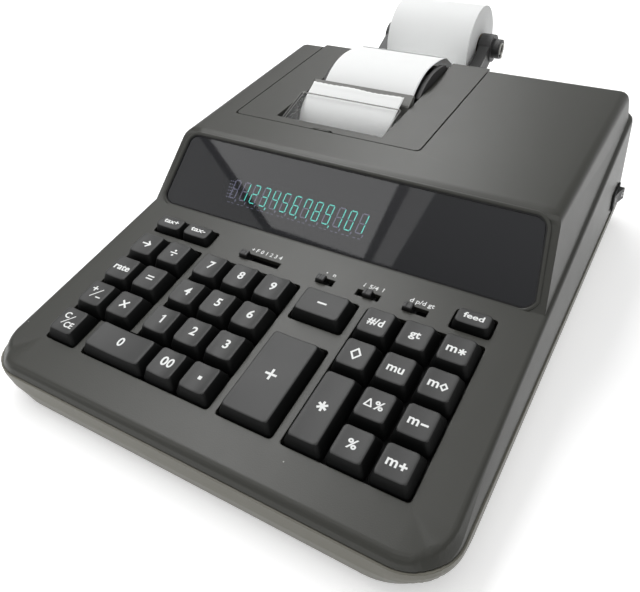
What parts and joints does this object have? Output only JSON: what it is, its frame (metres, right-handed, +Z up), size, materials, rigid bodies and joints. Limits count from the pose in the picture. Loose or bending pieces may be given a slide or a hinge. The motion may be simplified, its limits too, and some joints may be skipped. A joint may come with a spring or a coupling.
{
  "type": "printing calculator",
  "caption": "Desk printing calculator: sloping keyboard, fluorescent display behind a smoked window, roll printer with a hinged cover, and a paper roll on two rear arms.",
  "frame": {"origin": "middle of the whole object's plan outline, on the table under the feet", "axes": "+Z up, -Y towards the user at the keyboard, +X to the user's right"},
  "size_m": [0.2296, 0.3652, 0.0993],
  "materials": {
    "case_black": "fine grained warm black moulding",
    "tray_black": "satin black moulding",
    "arm_black": "satin black moulding",
    "key_black": "fine matte key plastic",
    "smoked_window": "polished smoked sheet",
    "tube_glass": "dark vacuum tube glass",
    "clear_plastic": "polished clear",
    "rubber": "matte",
    "paper": "plain white bond",
    "steel": "zinc plated sheet",
    "board_green": "solder mask"
  },
  "bodies": {
    "case": {"base_case": "tray_black", "circuit_board": "board_green", "display_tube": "tube_glass", "display_window": "smoked_window", "foot_front_left": "rubber", "foot_front_right": "rubber", "foot_rear_left": "rubber", "foot_rear_right": "rubber", "key_plate": "steel", "paper_strip": "paper", "printer_frame": "tray_black", "roll_arm_left": "arm_black", "roll_arm_right": "arm_black", "switch_plate": "tray_black", "top_case": "case_black"},
    "cover": {"printer_cover": "case_black", "tear_window": "clear_plastic"},
    "platen": {"platen_roller": "rubber"},
    "roll": {"paper_roll": "paper"},
    "head": {"print_head": "tray_black"},
    "rocker": {"power_switch": "key_black"},
    "decimal_knob": {"decimal_slider": "key_black"},
    "count_knob": {"count_slider": "key_black"},
    "rounding_knob": {"rounding_slider": "key_black"},
    "total_knob": {"total_slider": "key_black"},
    "key_clear": {"key_clear": "key_black"},
    "key_sign": {"key_sign": "key_black"},
    "key_multiply": {"key_multiply": "key_black"},
    "key_rate": {"key_rate": "key_black"},
    "key_equals": {"key_equals": "key_black"},
    "key_arrow": {"key_arrow": "key_black"},
    "key_divide": {"key_divide": "key_black"},
    "key_00": {"key_00": "key_black"},
    "key_point": {"key_point": "key_black"},
    "key_1": {"key_1": "key_black"},
    "key_2": {"key_2": "key_black"},
    "key_3": {"key_3": "key_black"},
    "key_4": {"key_4": "key_black"},
    "key_5": {"key_5": "key_black"},
    "key_6": {"key_6": "key_black"},
    "key_7": {"key_7": "key_black"},
    "key_8": {"key_8": "key_black"},
    "key_9": {"key_9": "key_black"},
    "key_percent": {"key_percent": "key_black"},
    "key_memory_plus": {"key_memory_plus": "key_black"},
    "key_delta_percent": {"key_delta_percent": "key_black"},
    "key_memory_minus": {"key_memory_minus": "key_black"},
    "key_subtotal": {"key_subtotal": "key_black"},
    "key_markup": {"key_markup": "key_black"},
    "key_memory_subtotal": {"key_memory_subtotal": "key_black"},
    "key_date": {"key_date": "key_black"},
    "key_grand_total": {"key_grand_total": "key_black"},
    "key_memory_total": {"key_memory_total": "key_black"},
    "key_0": {"key_0": "key_black"},
    "key_total": {"key_total": "key_black"},
    "key_plus": {"key_plus": "key_black"},
    "key_minus": {"key_minus": "key_black"},
    "key_tax_plus": {"key_tax_plus": "key_black"},
    "key_tax_minus": {"key_tax_minus": "key_black"},
    "key_feed": {"key_feed": "key_black"}
  },
  "joints": [
    {"name": "cover_hinge", "type": "hinge", "parent": "case", "child": "cover", "pos_m": [-0.03161, 0.09387, 0.07492], "axis": [-1, 0, 0], "range_deg": [0, 95]},
    {"name": "platen_spin", "type": "hinge", "parent": "case", "child": "platen", "pos_m": [-0.03161, 0.02332, 0.05686], "axis": [-1, 0, 0], "continuous": true},
    {"name": "roll_spin", "type": "hinge", "parent": "case", "child": "roll", "pos_m": [-0.03161, 0.15683, 0.0735], "axis": [-1, 0, 0], "continuous": true},
    {"name": "head_slide", "type": "slide", "parent": "case", "child": "head", "axis": [1, 0, 0], "range_m": [-0.01557, 0.03673]},
    {"name": "power_rock", "type": "hinge", "parent": "case", "child": "rocker", "pos_m": [0.11168, 0.07883, 0.02658], "axis": [-0.0688, 0, 0.9976], "range_deg": [0, 26]},
    {"name": "decimal_slide", "type": "slide", "parent": "case", "child": "decimal_knob", "axis": [1, 0, 0], "range_m": [0, 0.0177]},
    {"name": "count_slide", "type": "slide", "parent": "case", "child": "count_knob", "axis": [1, 0, 0], "range_m": [0, 0.004]},
    {"name": "rounding_slide", "type": "slide", "parent": "case", "child": "rounding_knob", "axis": [1, 0, 0], "range_m": [-0.0033, 0.0033]},
    {"name": "total_slide", "type": "slide", "parent": "case", "child": "total_knob", "axis": [1, 0, 0], "range_m": [0, 0.0065]},
    {"name": "key_clear_press", "type": "slide", "parent": "case", "child": "key_clear", "axis": [0, -0.1564, 0.9877], "range_m": [-0.0035, 0], "stiffness_N_per_m": 150, "springref_m": 0.0015},
    {"name": "key_sign_press", "type": "slide", "parent": "case", "child": "key_sign", "axis": [0, -0.1564, 0.9877], "range_m": [-0.0035, 0], "stiffness_N_per_m": 150, "springref_m": 0.0015},
    {"name": "key_multiply_press", "type": "slide", "parent": "case", "child": "key_multiply", "axis": [0, -0.1564, 0.9877], "range_m": [-0.0035, 0], "stiffness_N_per_m": 150, "springref_m": 0.0015},
    {"name": "key_rate_press", "type": "slide", "parent": "case", "child": "key_rate", "axis": [0, -0.1564, 0.9877], "range_m": [-0.0035, 0], "stiffness_N_per_m": 150, "springref_m": 0.0015},
    {"name": "key_equals_press", "type": "slide", "parent": "case", "child": "key_equals", "axis": [0, -0.1564, 0.9877], "range_m": [-0.0035, 0], "stiffness_N_per_m": 150, "springref_m": 0.0015},
    {"name": "key_arrow_press", "type": "slide", "parent": "case", "child": "key_arrow", "axis": [0, -0.1564, 0.9877], "range_m": [-0.0035, 0], "stiffness_N_per_m": 150, "springref_m": 0.0015},
    {"name": "key_divide_press", "type": "slide", "parent": "case", "child": "key_divide", "axis": [0, -0.1564, 0.9877], "range_m": [-0.0035, 0], "stiffness_N_per_m": 150, "springref_m": 0.0015},
    {"name": "key_00_press", "type": "slide", "parent": "case", "child": "key_00", "axis": [0, -0.1564, 0.9877], "range_m": [-0.0035, 0], "stiffness_N_per_m": 150, "springref_m": 0.0015},
    {"name": "key_point_press", "type": "slide", "parent": "case", "child": "key_point", "axis": [0, -0.1564, 0.9877], "range_m": [-0.0035, 0], "stiffness_N_per_m": 150, "springref_m": 0.0015},
    {"name": "key_1_press", "type": "slide", "parent": "case", "child": "key_1", "axis": [0, -0.1564, 0.9877], "range_m": [-0.0035, 0], "stiffness_N_per_m": 150, "springref_m": 0.0015},
    {"name": "key_2_press", "type": "slide", "parent": "case", "child": "key_2", "axis": [0, -0.1564, 0.9877], "range_m": [-0.0035, 0], "stiffness_N_per_m": 150, "springref_m": 0.0015},
    {"name": "key_3_press", "type": "slide", "parent": "case", "child": "key_3", "axis": [0, -0.1564, 0.9877], "range_m": [-0.0035, 0], "stiffness_N_per_m": 150, "springref_m": 0.0015},
    {"name": "key_4_press", "type": "slide", "parent": "case", "child": "key_4", "axis": [0, -0.1564, 0.9877], "range_m": [-0.0035, 0], "stiffness_N_per_m": 150, "springref_m": 0.0015},
    {"name": "key_5_press", "type": "slide", "parent": "case", "child": "key_5", "axis": [0, -0.1564, 0.9877], "range_m": [-0.0035, 0], "stiffness_N_per_m": 150, "springref_m": 0.0015},
    {"name": "key_6_press", "type": "slide", "parent": "case", "child": "key_6", "axis": [0, -0.1564, 0.9877], "range_m": [-0.0035, 0], "stiffness_N_per_m": 150, "springref_m": 0.0015},
    {"name": "key_7_press", "type": "slide", "parent": "case", "child": "key_7", "axis": [0, -0.1564, 0.9877], "range_m": [-0.0035, 0], "stiffness_N_per_m": 150, "springref_m": 0.0015},
    {"name": "key_8_press", "type": "slide", "parent": "case", "child": "key_8", "axis": [0, -0.1564, 0.9877], "range_m": [-0.0035, 0], "stiffness_N_per_m": 150, "springref_m": 0.0015},
    {"name": "key_9_press", "type": "slide", "parent": "case", "child": "key_9", "axis": [0, -0.1564, 0.9877], "range_m": [-0.0035, 0], "stiffness_N_per_m": 150, "springref_m": 0.0015},
    {"name": "key_percent_press", "type": "slide", "parent": "case", "child": "key_percent", "axis": [0, -0.1564, 0.9877], "range_m": [-0.0035, 0], "stiffness_N_per_m": 150, "springref_m": 0.0015},
    {"name": "key_memory_plus_press", "type": "slide", "parent": "case", "child": "key_memory_plus", "axis": [0, -0.1564, 0.9877], "range_m": [-0.0035, 0], "stiffness_N_per_m": 150, "springref_m": 0.0015},
    {"name": "key_delta_percent_press", "type": "slide", "parent": "case", "child": "key_delta_percent", "axis": [0, -0.1564, 0.9877], "range_m": [-0.0035, 0], "stiffness_N_per_m": 150, "springref_m": 0.0015},
    {"name": "key_memory_minus_press", "type": "slide", "parent": "case", "child": "key_memory_minus", "axis": [0, -0.1564, 0.9877], "range_m": [-0.0035, 0], "stiffness_N_per_m": 150, "springref_m": 0.0015},
    {"name": "key_subtotal_press", "type": "slide", "parent": "case", "child": "key_subtotal", "axis": [0, -0.1564, 0.9877], "range_m": [-0.0035, 0], "stiffness_N_per_m": 150, "springref_m": 0.0015},
    {"name": "key_markup_press", "type": "slide", "parent": "case", "child": "key_markup", "axis": [0, -0.1564, 0.9877], "range_m": [-0.0035, 0], "stiffness_N_per_m": 150, "springref_m": 0.0015},
    {"name": "key_memory_subtotal_press", "type": "slide", "parent": "case", "child": "key_memory_subtotal", "axis": [0, -0.1564, 0.9877], "range_m": [-0.0035, 0], "stiffness_N_per_m": 150, "springref_m": 0.0015},
    {"name": "key_date_press", "type": "slide", "parent": "case", "child": "key_date", "axis": [0, -0.1564, 0.9877], "range_m": [-0.0035, 0], "stiffness_N_per_m": 150, "springref_m": 0.0015},
    {"name": "key_grand_total_press", "type": "slide", "parent": "case", "child": "key_grand_total", "axis": [0, -0.1564, 0.9877], "range_m": [-0.0035, 0], "stiffness_N_per_m": 150, "springref_m": 0.0015},
    {"name": "key_memory_total_press", "type": "slide", "parent": "case", "child": "key_memory_total", "axis": [0, -0.1564, 0.9877], "range_m": [-0.0035, 0], "stiffness_N_per_m": 150, "springref_m": 0.0015},
    {"name": "key_0_press", "type": "slide", "parent": "case", "child": "key_0", "axis": [0, -0.1564, 0.9877], "range_m": [-0.0035, 0], "stiffness_N_per_m": 150, "springref_m": 0.0015},
    {"name": "key_total_press", "type": "slide", "parent": "case", "child": "key_total", "axis": [0, -0.1564, 0.9877], "range_m": [-0.0035, 0], "stiffness_N_per_m": 150, "springref_m": 0.0015},
    {"name": "key_plus_press", "type": "slide", "parent": "case", "child": "key_plus", "axis": [0, -0.1564, 0.9877], "range_m": [-0.0035, 0], "stiffness_N_per_m": 150, "springref_m": 0.0015},
    {"name": "key_minus_press", "type": "slide", "parent": "case", "child": "key_minus", "axis": [0, -0.1564, 0.9877], "range_m": [-0.0035, 0], "stiffness_N_per_m": 150, "springref_m": 0.0015},
    {"name": "key_tax_plus_press", "type": "slide", "parent": "case", "child": "key_tax_plus", "axis": [0, -0.1564, 0.9877], "range_m": [-0.0035, 0], "stiffness_N_per_m": 150, "springref_m": 0.0015},
    {"name": "key_tax_minus_press", "type": "slide", "parent": "case", "child": "key_tax_minus", "axis": [0, -0.1564, 0.9877], "range_m": [-0.0035, 0], "stiffness_N_per_m": 150, "springref_m": 0.0015},
    {"name": "key_feed_press", "type": "slide", "parent": "case", "child": "key_feed", "axis": [0, -0.1564, 0.9877], "range_m": [-0.0035, 0], "stiffness_N_per_m": 150, "springref_m": 0.0015}
  ],
  "couplings": [
    {"joint": "roll_spin", "follows": "platen_spin", "ratio": 0.40504}
  ]
}
